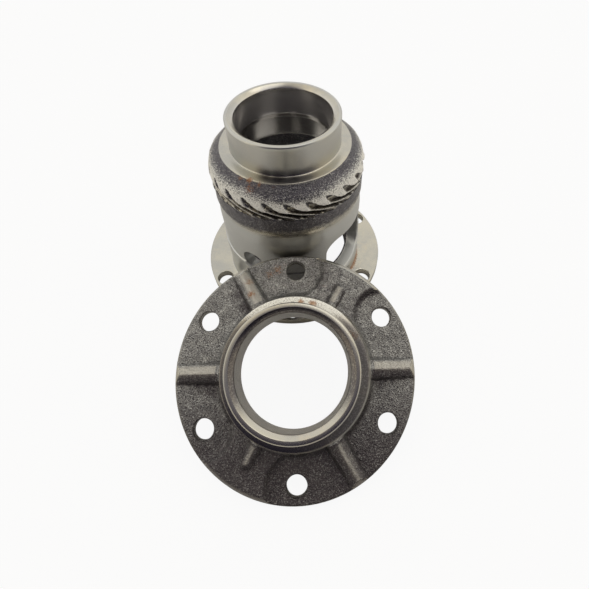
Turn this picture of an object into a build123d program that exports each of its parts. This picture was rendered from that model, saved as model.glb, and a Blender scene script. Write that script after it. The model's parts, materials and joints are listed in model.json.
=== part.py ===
from build123d import *
import math
import os

# Two castings of a differential housing: the case stands on its bolting flange, and the
# cover leans in front of it, its lower edge on the floor and its upper edge on the case.
# Millimetres. The origin is the centre of the flange's underside, +Z runs up the case's axis.

# Sizes that both castings share
flange_radius = 64.25
bolt_edge_land = 7.25
bolt_circle_radius = flange_radius - bolt_edge_land
bolt_count = 6
bolt_hole_diameter = 11.0
neck_radius = 32.5
neck_edge_chamfer = 0.6
neck_bore_radius = 27.7
neck_lip_width = 2.3
neck_lip_depth = 1.8
gear_seat_radius = 34.0
cavity_radius = 38.0
spigot_clearance = 0.1

# Case, turned outline from the flange up
flange_thickness = 5.6
bolt_hole_turn = 24.5
register_radius = 47.3
register_top = 35.0
body_radius = 46.4
ring_bottom = 83.4
ring_radius = 47.7
ring_bevel_height = 2.0
ring_tip_top = 92.4
cast_corner_radius = 45.4
cast_corner_height = 97.9
shoulder_radius = 38.7
shoulder_height = 103.7
neck_top = 122.1

# Case, bored inside from the open end up
spigot_recess_radius = 44.0
spigot_recess_depth = 8.0
cavity_top = 84.0
gear_seat_top = 100.4
relief_radius = 29.0
relief_top = 103.9

# Helical drive teeth, cut left-handed round the ring
tooth_count = 24
tooth_lead_angle = 16.0
tooth_space_depth = 2.2
tooth_flank_angle = 32.0
tooth_space_top = 94.3
tooth_space_bottom = 83.6
tooth_first_turn = -4.5

# Openings in the case's wall: two windows and the cross pin's two holes
window_turn = 53.5
window_width = 44.0
window_bottom = 17.9
window_top = 54.5
window_corner_radius = 9.0
pin_hole_diameter = 15.0
pin_hole_turn = -36.4
pin_hole_height = 39.5

# Cover, its own frame: mating face at height 0, neck upward
cover_overhang = 2.0
cover_radius = flange_radius + cover_overhang
cover_thickness = 6.0
spigot_length = 5.0
hub_foot_radius = 41.6
hub_foot_height = 9.6
cover_shoulder_radius = 38.4
cover_shoulder_height = 23.8
cover_neck_top = 42.6
cover_gear_seat_top = 20.2
rim_cone_width = 3.2
rim_cone_height = 4.2
rib_directions = (0, 120, 180, 300)
rib_width = 9.2
rib_hub_height = 10.5
rib_rim_height = 3.4
rib_crown_fillet = 2.6
pad_directions = (60, 240)
pad_height = 3.4
pad_half_angle = 30.0
pad_hole_clearance = 17.3
pad_rib_width = 6.0
pad_rib_hub_height = 8.2
pad_rib_far_height = 5.8
pad_rib_crown_fillet = 2.0
pad_rib_reach = 54.0

# Where the cover leans
cover_tilt = 22.2
cover_turn = -3.87
cover_spin = -1.0
cover_side_offset = 1.9
rest_gap = 0.05

# How far a cutter runs past what it cuts, and a raised form into what carries it
cut_margin = 5.0
root_overlap = 1.0
raised_root_radius = (gear_seat_radius + cover_shoulder_radius) / 2


def around(turn):
    """A direction in the floor plane, turn degrees from the front (-Y) toward +X."""
    return Vector(math.sin(math.radians(turn)), -math.cos(math.radians(turn)), 0)


def bolt_holes(height, first):
    """Round cutters for the bolt circle, first one at the given angle from +X."""
    circle = PolarLocations(bolt_circle_radius, bolt_count, first)
    drill = Cylinder(bolt_hole_diameter / 2, 2 * height + 2 * cut_margin)
    return [place * drill for place in circle]


def case_outline():
    """Half section of the case, from the open end round the outside and back down the bore."""
    lip_radius = neck_bore_radius + neck_lip_width
    points = [
        (spigot_recess_radius, 0),
        (flange_radius, 0),
        (flange_radius, flange_thickness),
        (register_radius, flange_thickness),
        (register_radius, register_top),
        (body_radius, register_top),
        (body_radius, ring_bottom),
        (ring_radius, ring_bottom + ring_bevel_height),
        (ring_radius, ring_tip_top),
        (cast_corner_radius, cast_corner_height),
        (shoulder_radius, shoulder_height),
        (neck_radius, shoulder_height),
        (neck_radius, neck_top - neck_edge_chamfer),
        (neck_radius - neck_edge_chamfer, neck_top),
        (lip_radius, neck_top),
        (neck_bore_radius, neck_top - neck_lip_depth),
        (neck_bore_radius, relief_top),
        (relief_radius, relief_top),
        (relief_radius, gear_seat_top),
        (gear_seat_radius, gear_seat_top),
        (gear_seat_radius, cavity_top),
        (cavity_radius, cavity_top),
        (cavity_radius, spigot_recess_depth),
        (spigot_recess_radius, spigot_recess_depth),
    ]
    return points


def turned(points):
    """A half section, given as radius and height, revolved round +Z."""
    outline = Polyline(*[(radius, 0, height) for radius, height in points], close=True)
    return revolve(make_face(outline), Axis.Z)


def tooth_space():
    """One space between two drive teeth: a pointed section swept up a left-handed helix."""
    lead = 2 * math.pi * ring_radius * math.tan(math.radians(tooth_lead_angle))
    rise = tooth_space_top - tooth_space_bottom
    path = Helix(lead, rise, ring_radius, center=(0, 0, tooth_space_bottom), lefthand=True)
    outward = Vector((path @ 0).X, (path @ 0).Y, 0)
    across = Plane(origin=path @ 0, x_dir=outward, z_dir=path % 0)
    half_mouth = (tooth_space_depth + root_overlap) * math.tan(math.radians(tooth_flank_angle))
    section = make_face(
        Polyline(
            (-tooth_space_depth, 0),
            (root_overlap, -half_mouth),
            (root_overlap, half_mouth),
            close=True,
        )
    )
    space = sweep(across * section, path=path, is_frenet=True)
    sweep_turn = math.degrees(rise / lead * 2 * math.pi)
    return Rot(0, 0, tooth_first_turn - 90 + sweep_turn) * space


def window_cutter():
    """A rounded slot driven across the case, open on both sides."""
    middle = (window_top + window_bottom) / 2
    face = Plane(origin=(0, 0, middle), x_dir=around(window_turn + 90), z_dir=around(window_turn))
    slot = RectangleRounded(window_width, window_top - window_bottom, window_corner_radius)
    return extrude(face * slot, amount=flange_radius, both=True)


def pin_cutter():
    """The cross pin's bore, through both walls."""
    face = Plane(origin=(0, 0, pin_hole_height), z_dir=around(pin_hole_turn))
    return extrude(face * Circle(pin_hole_diameter / 2), amount=flange_radius, both=True)


def housing_case():
    """The cast and turned case with its toothed ring, windows, pin bore and bolting flange."""
    space = tooth_space()
    spaces = [Rot(0, 0, index * 360 / tooth_count) * space for index in range(tooth_count)]
    case = turned(case_outline()) - spaces
    case = case - window_cutter() - pin_cutter()
    return case - bolt_holes(flange_thickness, bolt_hole_turn)


def cover_outline():
    """Half section of the cover, from its spigot round the outside and back down the bore."""
    spigot_radius = spigot_recess_radius - spigot_clearance
    lip_radius = neck_bore_radius + neck_lip_width
    return [
        (cavity_radius, -spigot_length),
        (spigot_radius, -spigot_length),
        (spigot_radius, 0),
        (cover_radius, 0),
        (cover_radius, cover_thickness),
        (hub_foot_radius, cover_thickness),
        (hub_foot_radius, hub_foot_height),
        (cover_shoulder_radius, cover_shoulder_height),
        (neck_radius, cover_shoulder_height),
        (neck_radius, cover_neck_top - neck_edge_chamfer),
        (neck_radius - neck_edge_chamfer, cover_neck_top),
        (lip_radius, cover_neck_top),
        (neck_bore_radius, cover_neck_top - neck_lip_depth),
        (neck_bore_radius, cover_gear_seat_top),
        (gear_seat_radius, cover_gear_seat_top),
        (gear_seat_radius, 0),
    ]


def rim_envelope():
    """The turned cone that trims ribs and pads back from the rim."""
    top = cover_shoulder_height
    cone_reach = top - cover_thickness
    return turned(
        [
            (0, 0),
            (cover_radius, 0),
            (cover_radius, cover_thickness),
            (cover_radius - rim_cone_width, cover_thickness + rim_cone_height),
            (cover_radius - rim_cone_width - cone_reach, top + rim_cone_width),
            (0, top + rim_cone_width),
        ]
    )


def radial_rib(width, near, far, near_height, far_height, base, crown):
    """A rib along +X with a rounded crown, from radius near to radius far, standing on base."""
    side = Plane.XZ * make_face(
        Polyline(
            (near, base - root_overlap),
            (far, base - root_overlap),
            (far, base + far_height),
            (near, base + near_height),
            close=True,
        )
    )
    rib = extrude(side, amount=width / 2, both=True)
    top = rib.faces().sort_by(Axis.Z)[-1]
    return fillet(top.edges().sort_by(SortBy.LENGTH)[-2:], crown)


def raised_pad():
    """A raised sector between two bolt holes, hollowed round each of them."""
    wedge = make_face(
        Polyline(
            (0, 0),
            (2 * cover_radius, -2 * cover_radius * math.tan(math.radians(pad_half_angle))),
            (2 * cover_radius, 2 * cover_radius * math.tan(math.radians(pad_half_angle))),
            close=True,
        )
    )
    flat = wedge & Circle(cover_radius)
    flat -= Circle(raised_root_radius)
    for side in (-1, 1):
        hole = PolarLocations(bolt_circle_radius, 1, side * pad_half_angle).locations[0]
        flat -= Pos(hole.position) * Circle(pad_hole_clearance)
    return extrude(Pos(0, 0, cover_thickness - root_overlap) * flat, amount=pad_height + root_overlap)


def cover_in_its_frame():
    """The cover with its mating face at height 0 and its neck upward."""
    body = turned(cover_outline())
    rib = radial_rib(
        rib_width, raised_root_radius, cover_radius, rib_hub_height, rib_rim_height,
        cover_thickness, rib_crown_fillet,
    )
    pad_rib = radial_rib(
        pad_rib_width, raised_root_radius, pad_rib_reach, pad_rib_hub_height,
        pad_rib_far_height, cover_thickness, pad_rib_crown_fillet,
    )
    pad = raised_pad()
    raised = [Rot(0, 0, turn) * rib for turn in rib_directions]
    for turn in pad_directions:
        raised += [Rot(0, 0, turn) * pad, Rot(0, 0, turn) * pad_rib]
    for piece in raised:
        body += piece & rim_envelope()
    return body - bolt_holes(cover_neck_top, 30)


def leaning_place():
    """Tilt and turn of the cover, with its lower edge on the floor and its upper edge on the case."""
    tilt = math.radians(cover_tilt)
    foot_drop = cover_radius * math.sin(tilt)
    stand_off = math.sqrt((body_radius + rest_gap) ** 2 - cover_side_offset**2)
    stand_off += cover_radius * math.cos(tilt)
    lean = Pos(cover_side_offset, -stand_off, foot_drop) * Rot(cover_tilt, 0, 0)
    return Rot(0, 0, cover_turn) * lean * Rot(0, 0, cover_spin)


def housing_cover():
    """The cover, leaning against the case."""
    return leaning_place() * cover_in_its_frame()


os.makedirs("parts", exist_ok=True)
export_step(housing_case(), "parts/housing_case.step")
export_step(housing_cover(), "parts/housing_cover.step")
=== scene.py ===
import json
import math

import bpy
import numpy as np
from mathutils import Matrix, Vector

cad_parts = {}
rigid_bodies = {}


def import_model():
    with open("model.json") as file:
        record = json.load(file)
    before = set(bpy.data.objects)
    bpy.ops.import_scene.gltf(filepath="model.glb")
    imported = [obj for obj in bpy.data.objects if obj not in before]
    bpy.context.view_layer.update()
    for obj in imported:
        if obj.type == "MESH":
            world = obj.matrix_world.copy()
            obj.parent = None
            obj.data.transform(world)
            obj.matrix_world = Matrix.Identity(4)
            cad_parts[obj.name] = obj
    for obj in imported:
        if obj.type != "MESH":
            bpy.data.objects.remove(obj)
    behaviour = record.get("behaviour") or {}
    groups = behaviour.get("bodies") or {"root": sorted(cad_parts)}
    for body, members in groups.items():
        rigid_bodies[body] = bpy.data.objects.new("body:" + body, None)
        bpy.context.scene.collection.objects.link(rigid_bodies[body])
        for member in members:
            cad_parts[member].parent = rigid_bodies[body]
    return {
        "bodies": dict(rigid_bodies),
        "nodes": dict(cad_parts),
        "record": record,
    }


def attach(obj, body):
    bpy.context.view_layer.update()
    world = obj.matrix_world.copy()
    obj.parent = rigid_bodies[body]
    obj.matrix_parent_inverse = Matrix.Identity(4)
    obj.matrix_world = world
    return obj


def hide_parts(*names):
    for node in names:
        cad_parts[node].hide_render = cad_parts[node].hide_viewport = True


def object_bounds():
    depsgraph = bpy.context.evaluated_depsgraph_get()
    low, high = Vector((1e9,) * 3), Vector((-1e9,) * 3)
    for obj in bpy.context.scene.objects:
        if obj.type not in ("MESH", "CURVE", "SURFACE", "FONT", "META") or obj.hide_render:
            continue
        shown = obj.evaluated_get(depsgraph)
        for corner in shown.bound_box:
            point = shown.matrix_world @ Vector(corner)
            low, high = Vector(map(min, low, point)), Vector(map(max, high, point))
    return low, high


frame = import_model()
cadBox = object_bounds()
mounts = {mount["name"]: mount for mount in frame["record"]["mounts"]}
bodyName = next(iter(frame["bodies"]))
print("frame loaded:", sorted(frame["nodes"]))

mm = 0.001  # the dictionaries below are in millimetres and degrees
mapLength = 100  # mm that one unit of the turned map's v stands for



class Values(dict):
    # a dictionary whose values are also read as attributes: s.name is s["name"]
    __getattr__ = dict.__getitem__


# helpers for outlines, grids and meshes


def smoothStep(low, high, value):
    # 0 below low, 1 above high, and 3t^2 - 2t^3 between them
    t = np.clip((value - low) / (high - low), 0, 1)
    return t * t * (3 - 2 * t)


def smoothMax(first, second, blend):
    # the larger of two heights, with a parabola of width blend where they cross
    mix = np.maximum(blend - np.abs(first - second), 0) / blend
    return np.maximum(first, second) + mix * mix * blend / 4


def between(value, low, high):
    # where low < value < high
    return (value > low) & (value < high)


def bell(value, middle, width):
    # 1 at the middle and less to both sides: exp(-((value - middle) / width)^2)
    return np.exp(-((value - middle) / width)**2)


def ripple(points, size, seed, waveCount=8, shares=(0.7, 1.5), gain=1.6):
    # soft unevenness of about -1 to 1: gain times the mean of plane waves sin(k.p + phase) in
    # random directions, with wavelengths of size times a random share
    draw = np.random.default_rng(seed)
    directions = draw.normal(size=(waveCount, 3))
    directions /= np.linalg.norm(directions, axis=1)[:, None]
    waves = 2 * np.pi / (size * draw.uniform(*shares, waveCount))
    phases = draw.uniform(0, 2 * np.pi, waveCount)
    return np.sin(points @ (directions * waves[:, None]).T + phases).mean(-1) * gain


def castRipple(points, s):
    # the cast skin's unevenness: broad waves plus finer ones half as high
    broad, fine = (ripple(points, size, seed) for size, seed in zip(s.rippleSizes, s.rippleSeeds))
    return broad * s.castUnevenness + fine * s.castUnevenness * 0.5


def turnedPoints(radius, turn, height):
    # points round an axis: (radius cos(turn), radius sin(turn), height)
    return np.stack([radius * np.cos(turn), radius * np.sin(turn), height], -1)


def roundedOutline(corners, stepOf, arcStep=24, sideShare=0.45, flatSweep=0.05):
    # a closed outline through (radius, height, rounding) corners: at each an arc tangent to both
    # sides, centred at corner + inward reach / cos(half angle), reach = rounding / tan(half angle),
    # and between two arcs straight steps as long as stepOf(middle) says
    corners = np.array(corners, float)
    places, rounds = corners[:, :2], corners[:, 2]
    back, ahead = np.roll(places, 1, 0) - places, np.roll(places, -1, 0) - places
    backLength, aheadLength = np.linalg.norm(back, axis=1), np.linalg.norm(ahead, axis=1)
    back, ahead = back / backLength[:, None], ahead / aheadLength[:, None]
    half = np.arccos(np.clip((back * ahead).sum(1), -1, 1)) / 2
    reach = np.minimum(rounds / np.tan(half), sideShare * np.minimum(backLength, aheadLength))
    inward = (back + ahead) / np.linalg.norm(back + ahead, axis=1)[:, None]
    centres = places + inward * (reach / np.cos(half))[:, None]
    starts, ends = places + back * reach[:, None], places + ahead * reach[:, None]
    stretches = []
    for index, centre in enumerate(centres):
        sweep = np.pi - 2 * half[index]
        count = max(3, int(np.ceil(sweep / math.radians(arcStep)))) if sweep > flatSweep else 2
        t = np.linspace(0, 1, count)[:, None]
        arms = [starts[index] - centre, ends[index] - centre]
        arc = (arms[0] * np.sin((1 - t) * sweep) + arms[1] * np.sin(t * sweep)) / np.sin(sweep)
        following = starts[(index + 1) % len(corners)]
        run = following - ends[index]
        cuts = max(1, int(np.ceil(np.linalg.norm(run) / stepOf((following + ends[index]) / 2))))
        steps = np.linspace(0, 1, cuts + 1)[1:-1, None]
        stretches += [centre + arc, ends[index] + steps * run]
    outline = np.concatenate(stretches)
    return outline[:, 0], outline[:, 1]


def loopGrid(points, lastShift=0):
    # quads of a grid closed both ways, each from (row, column) to (row + 1, column + 1); the last
    # row meets the first lastShift columns further on
    rows, columns = points.shape[:2]
    i, j = np.arange(rows)[:, None], np.arange(columns)[None, :]
    shift = np.where(i == rows - 1, lastShift, 0)
    below = (i + 1) % rows * columns
    here = [i * columns + j, i * columns + (j + 1) % columns]
    there = [below + (j + 1 + shift) % columns, below + (j + shift) % columns]
    return np.stack(here + there, -1).reshape(-1, 4)


def linkObject(name, data):
    # an object that shows the data, put into the scene
    thing = bpy.data.objects.new(name, data)
    bpy.context.scene.collection.objects.link(thing)
    return thing


def meshPiece(name, points, quads, ends=()):
    # an object from points in metres, quads, and ends with any number of corners; each face
    # starts where the corners before it add up to
    points = np.asarray(points, np.float32).reshape(-1, 3)
    mesh = bpy.data.meshes.new(name)
    faces = [np.asarray(quads, np.int32).ravel()] + [np.asarray(end, np.int32) for end in ends]
    corners = np.concatenate(faces)
    sizes = np.array([4] * len(quads) + [len(end) for end in ends], np.int32)
    starts = np.concatenate([[0], np.cumsum(sizes)[:-1]]).astype(np.int32)
    mesh.vertices.add(len(points))
    mesh.vertices.foreach_set("co", points.ravel())
    mesh.loops.add(len(corners))
    mesh.loops.foreach_set("vertex_index", corners)
    mesh.polygons.add(len(sizes))
    mesh.polygons.foreach_set("loop_start", starts)
    mesh.update(calc_edges=True)
    mesh.validate()
    return linkObject(name, mesh)


def holeCutter(name, axes, centre, outline, sections):
    # a plug: an outline (u, v, outward normals) carried along the third axis, point = centre +
    # u across + v upright + w outward, widened along the normals; sections give (w, widening)
    u, v, normalU, normalV = outline
    across, upright, outward = axes
    points = np.stack([
        centre + np.outer(u + normalU * wider, across) + np.outer(v + normalV * wider, upright)
        + np.outer(w * np.ones_like(u), outward)
        for w, wider in sections
    ])
    count = len(u)
    first = np.arange(count)
    caps = [first[::-1], first + (len(sections) - 1) * count]
    return meshPiece(name, points * mm, loopGrid(points)[:-count], caps)


def cutAway(piece, cutters):
    # the piece less the cutters, kept as a finished mesh
    for cutter in cutters:
        modifier = piece.modifiers.new(cutter.name, "BOOLEAN")
        modifier.operation = "DIFFERENCE"
        modifier.solver = "MANIFOLD"
        modifier.object = cutter
    graph = bpy.context.evaluated_depsgraph_get()
    finished = bpy.data.meshes.new_from_object(piece.evaluated_get(graph))
    piece.modifiers.clear()
    piece.data = finished
    for cutter in cutters:
        bpy.data.objects.remove(cutter)


def readAll(items, key, kind=np.int32, width=1):
    # one property of all items as an array, a row of width numbers for each
    flat = np.empty(len(items) * width, kind)
    items.foreach_get(key, flat)
    return flat.reshape(-1, width) if width > 1 else flat


def setAttributes(mesh, **values):
    # one number per point under each name
    for name, numbers in values.items():
        attribute = mesh.attributes.new(name, "FLOAT", "POINT")
        attribute.data.foreach_set("value", np.asarray(numbers, np.float32))


def setTurnedMap(mesh, local):
    # a UV map for turned surfaces: u is the angle round the axis over a full turn, unwrapped about
    # each face's middle, and v is (height - radius) / mapLength
    loops = readAll(mesh.loops, "vertex_index")
    sizes = readAll(mesh.polygons, "loop_total")
    owner = np.repeat(np.arange(len(sizes)), sizes)
    sums = np.stack([np.bincount(owner, local[loops, axis]) for axis in (0, 1)], -1)
    middle = np.arctan2(sums[:, 1], sums[:, 0])[owner]
    angle = np.arctan2(local[loops, 1], local[loops, 0])
    u = (middle + (angle - middle + np.pi) % (2 * np.pi) - np.pi) / (2 * np.pi)
    v = (local[loops, 2] - np.hypot(local[loops, 0], local[loops, 1])) / mapLength
    uvMap = mesh.uv_layers.new(name="turned")
    uvMap.data.foreach_set("uv", np.stack([u, v], -1).astype(np.float32).ravel())


def keepRound(mesh, local, radius, low, high, slack=0.06, squareness=0.99):
    # gives the corners on a turned wall of this radius its true outward normal (x, y, 0) / r, so
    # the cuts through it leave no dents in its shading
    sizes = readAll(mesh.polygons, "loop_total")
    facing = np.repeat(readAll(mesh.polygons, "normal", np.float32, 3), sizes, 0)
    spot = local[readAll(mesh.loops, "vertex_index")]
    reach = np.hypot(spot[:, 0], spot[:, 1])
    outward = np.stack([spot[:, 0] / reach, spot[:, 1] / reach, 0 * reach], -1)
    onWall = (np.abs(reach - radius) < slack) & between(spot[:, 2], low, high)
    onWall &= (facing * outward).sum(1) > squareness
    mesh.normals_split_custom_set(np.where(onWall[:, None], outward, 0).astype(np.float32))


def smoothShade(mesh, sharpDegrees=34):
    # smooth shading, with an edge sharp where its faces meet at more than this angle
    mesh.polygons.foreach_set("use_smooth", np.ones(len(mesh.polygons), bool))
    mesh.set_sharp_from_angle(angle=math.radians(sharpDegrees))


def dressPiece(piece, node, material):
    # gives the piece its material in one slot and its body, and hides the CAD node it stands for; a
    # face counts as corners - 2 triangles
    piece.data.materials.clear()
    piece.data.materials.append(material)
    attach(piece, bodyName)
    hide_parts(node)
    triangles = sum(len(face.vertices) - 2 for face in piece.data.polygons)
    print("made", piece.name, triangles, "triangles")


# material helpers


def addNode(tree, kind, settings=None, inputs=None):
    # a shader node with its settings; an input that is a socket is linked, another value is set
    node = tree.nodes.new("ShaderNode" + kind)
    for key, value in (settings or {}).items():
        setattr(node, key, value)
    for key, value in (inputs or {}).items():
        if isinstance(value, bpy.types.NodeSocket):
            tree.links.new(value, node.inputs[key])
        else:
            node.inputs[key].default_value = value
    return node


def noiseField(tree, vector, noise):
    # noise from 0 to 1 at a place: the noise's scale, detail and roughness
    inputs = {"Vector": vector, **dict(zip(("Scale", "Detail", "Roughness"), noise))}
    return addNode(tree, "TexNoise", None, inputs).outputs["Fac"]


def mathNode(tree, operation, *values, clamp=False):
    # one operation on two or three values, such as first less second, or first times second
    settings = {"operation": operation, "use_clamp": clamp}
    return addNode(tree, "Math", settings, dict(enumerate(values))).outputs[0]


def raggedEdge(tree, depth, noise, swing):
    # a depth with a ragged edge: depth + swing (noise - 0.5)
    return mathNode(tree, "MULTIPLY_ADD", mathNode(tree, "SUBTRACT", noise, 0.5), swing, depth)


def rangeNode(tree, value, low, high, toLow=0.0, toHigh=1.0, kind="SMOOTHSTEP"):
    # the value's place t between low and high, as toLow + (toHigh - toLow) (3t^2 - 2t^3)
    keys = ("Value", "From Min", "From Max", "To Min", "To Max")
    inputs = dict(zip(keys, (value, low, high, toLow, toHigh)))
    node = addNode(tree, "MapRange", {"interpolation_type": kind}, inputs)
    return node.outputs["Result"]


def mixValue(tree, factor, first, second):
    # (1 - factor) first + factor second
    inputs = {0: factor, 2: first, 3: second}
    return addNode(tree, "Mix", {"data_type": "FLOAT"}, inputs).outputs[0]


def layColours(tree, tone, layers):
    # the tone under each layer (share, colour) in turn: tone = (1 - share) tone + share colour
    for share, colour in layers:
        inputs = {0: share}
        for index, value in ((6, tone), (7, colour)):
            inputs[index] = (*value, 1.0) if isinstance(value, tuple) else value
        tone = addNode(tree, "Mix", {"data_type": "RGBA"}, inputs).outputs[2]
    return tone


def mixShaders(tree, factor, first, second, output):
    # (1 - factor) first + factor second, as the surface that the output shows
    inputs = {0: factor, 1: first.outputs[0], 2: second.outputs[0]}
    mix = addNode(tree, "MixShader", None, inputs)
    addNode(tree, output, None, {"Surface": mix.outputs[0]})


ironFinish = Values(
    turnedColour=(0.59, 0.555, 0.465), turnedCool=(0.45, 0.445, 0.42),
    # the near-white bore tone below is painted light for the bores, also laid on the holes' cut
    # faces
    turnedWarm=(0.64, 0.575, 0.45), wallColour=(0.56, 0.57, 0.56), boreColour=(0.97, 0.95, 0.95),
    turningPitch=0.55,
    ringsRound=3.0,  # changes of a turning ring in one turn
    ringShare=0.35, ringRelief=0.012, turnedAnisotropy=0.45,
    blurTurn=0.25,  # of a full turn, so the blur lies across the turning rings
    castColour=(0.265, 0.26, 0.255), castLight=(0.68, 0.68, 0.66), castDark=(0.06, 0.055, 0.063),
    castGrain=0.62,  # mm
    coarseShare=0.25, coarseScale=0.56,
    castRelief=1.0,  # mm from pit to tip
    broadRelief=0.15,  # of castRelief
    # the worn tone below is wear on rib crests and a painted highlight on their up-facing sides
    wornColour=(0.62, 0.59, 0.53), wornShare=0.75,
    # the land tone below is wear on the tooth lands and a painted highlight on the top of the
    # cover's shoulder
    landColour=(0.99, 0.98, 0.92), landDark=(0.34, 0.33, 0.31),
    rustColour=(0.30, 0.115, 0.045), rustLight=(0.52, 0.30, 0.16), rustShare=0.85, rustRelief=0.06,
    # painted shade: the dark tone below
    grimeColour=(0.066, 0.055, 0.062),
    turnedRoughness=(0.16, 0.32),  # over the cloudy tint
    wallRoughness=0.33, sawnRoughness=0.52, castRoughness=0.29, landRoughness=0.5,
    rustRoughness=0.85, metalLoss={"rust": 0.8, "bore": 0.08, "land": 0.8},
    castSwing=3.0,  # mm that an edge is ragged
    landSwing=9.0, rustSwing=1.3,
    ringNoise=(1.0, 2.0, 0.7),  # scale, detail and roughness
    cloudNoise=(38.0, 5.0, 0.6), warmNoise=(61.0, 4.0, 0.65), edgeNoise=(420.0, 4.0, 0.6),
    broadNoise=(260.0, 3.0, 0.55), speckNoise=(900.0, 4.0, 0.7),
    grainNoise=(2.0, 0.5),  # detail and roughness
    cloudRange=(0.35, 0.7),  # the noise or depth from which it starts to where it is full
    warmRange=(0.55, 0.75), castRange=(-1.2, 1.2),
    tipRange=(0.53, 0.66, 0.0, 0.9),  # and the shares at both
    pitRange=(0.48, 0.36, 0.0, 0.9), hollowRange=(0.62, 0.4, 0.0, 0.3),
    landRange=(-2.2, 2.6), landPitRange=(0.5, 0.34, 0.0, 0.55),
    # the last range below sets how much of the painted shade the grain lets through
    rustRange=(0.3, 0.75), rustToneRange=(0.45, 0.62), dirtRange=(0.62, 0.5, 0.66, 0.95),
)


def ironMaterial(name, finish):
    # turned and as-cast iron in one: castDepth and the land depth say how many mm a point lies
    # inside the as-cast skin and the rubbed lands, which on the cover's shoulder are a painted
    # highlight; shares from 0 to 1 give wear with a painted highlight, rust, painted shade, painted
    # light in the bores, wall and sawn; colour, metal, roughness and relief are mixed by them in
    # turn
    material = bpy.data.materials.new(name)
    material.use_nodes = True
    tree = material.node_tree
    shader = tree.nodes["Principled BSDF"]
    place = addNode(tree, "TexCoord").outputs["Object"]
    uv = addNode(tree, "UVMap", {"uv_map": "turned"}).outputs["UV"]
    castDepth, landDepth, worn, rust, grime, bore, wall, sawn = (
        addNode(tree, "Attribute", {"attribute_name": key}).outputs["Fac"]
        for key in ("castDepth", "landDepth", "worn", "rust", "grime", "bore", "wall", "sawn"))
    ragged, cloud, warm, broad, speck = (
        noiseField(tree, place, finish[key + "Noise"])
        for key in ("edge", "cloud", "warm", "broad", "speck"))

    def times(first, second):
        # first times second
        return mathNode(tree, "MULTIPLY", first, second)

    def ranged(value, key):
        # the value through the finish's range of this name
        return rangeNode(tree, value, *finish[key + "Range"])

    # turned skin: fine rings from the UV map, faint cloudy tint
    scale = (finish.ringsRound, mapLength / finish.turningPitch, 1.0)
    stretched = addNode(tree, "Mapping", None, {"Vector": uv, "Scale": scale})
    rings = noiseField(tree, stretched.outputs["Vector"], finish.ringNoise)
    turned = layColours(tree, finish.turnedColour, [
        (ranged(cloud, "cloud"), finish.turnedCool),
        (ranged(warm, "warm"), finish.turnedWarm),
        (times(rings, finish.ringShare), finish.turnedCool),
        # painted light: the bores and the holes' cut faces are lifted toward the near-white bore
        # tone
        (bore, finish.boreColour),
        (wall, finish.wallColour),
    ])

    # as-cast skin: sand grain with light tips and dark pits
    fine, coarse = (noiseField(tree, place, (1000 * share / finish.castGrain, *finish.grainNoise))
                    for share in (1.0, finish.coarseScale))
    grain = mixValue(tree, finish.coarseShare, fine, coarse)
    castTone = layColours(tree, finish.castColour, [
        (ranged(grain, "tip"), finish.castLight),
        (ranged(grain, "pit"), finish.castDark),
        (ranged(broad, "hollow"), finish.castDark),
        # wear on the cover's rib crests, and a painted highlight where they face up
        (times(worn, finish.wornShare), finish.wornColour),
    ])

    cast = ranged(raggedEdge(tree, castDepth, ragged, finish.castSwing), "cast")
    land = ranged(raggedEdge(tree, landDepth, fine, finish.landSwing), "land")
    landTone = layColours(tree, finish.landColour, [(ranged(grain, "landPit"), finish.landDark)])
    rustMask = ranged(raggedEdge(tree, rust, speck, finish.rustSwing), "rust")
    rustTone = layColours(tree, finish.rustLight, [(ranged(speck, "rustTone"), finish.rustColour)])
    tone = layColours(tree, turned, [
        (cast, castTone),
        (land, landTone),
        (times(rustMask, finish.rustShare), rustTone),
        # painted shade, broken up by the grain
        (times(grime, ranged(grain, "dirt")), finish.grimeColour),
    ])
    tree.links.new(tone, shader.inputs["Base Color"])

    metal = 1.0
    for share, key in ((rustMask, "rust"), (bore, "bore"), (land, "land")):
        loss = times(share, finish.metalLoss[key])
        metal = mathNode(tree, "SUBTRACT", metal, loss, clamp=True)
    tree.links.new(metal, shader.inputs["Metallic"])
    rough = mixValue(tree, cloud, *finish.turnedRoughness)
    shares = (wall, sawn, cast, land, rustMask)
    for share, key in zip(shares, ("wall", "sawn", "cast", "land", "rust")):
        rough = mixValue(tree, share, rough, finish[key + "Roughness"])
    tree.links.new(rough, shader.inputs["Roughness"])
    blur = times(mathNode(tree, "SUBTRACT", 1.0, cast), finish.turnedAnisotropy)
    tree.links.new(blur, shader.inputs["Anisotropic"])
    tangent = addNode(tree, "Tangent", {"direction_type": "UV_MAP", "uv_map": "turned"})
    tree.links.new(tangent.outputs["Tangent"], shader.inputs["Tangent"])
    shader.inputs["Anisotropic Rotation"].default_value = finish.blurTurn

    broadRelief = times(broad, finish.castRelief * finish.broadRelief)
    castRelief = mathNode(tree, "ADD", times(grain, finish.castRelief), broadRelief)
    relief = mixValue(tree, cast, times(rings, finish.ringRelief), castRelief)
    relief = mathNode(tree, "ADD", relief, times(rustMask, finish.rustRelief))
    bump = addNode(tree, "Bump", None, {"Distance": mm, "Height": relief})
    tree.links.new(bump.outputs["Normal"], shader.inputs["Normal"])
    return material


# housing case

boltPattern = mounts["case_bolts"]["dims"]

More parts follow.
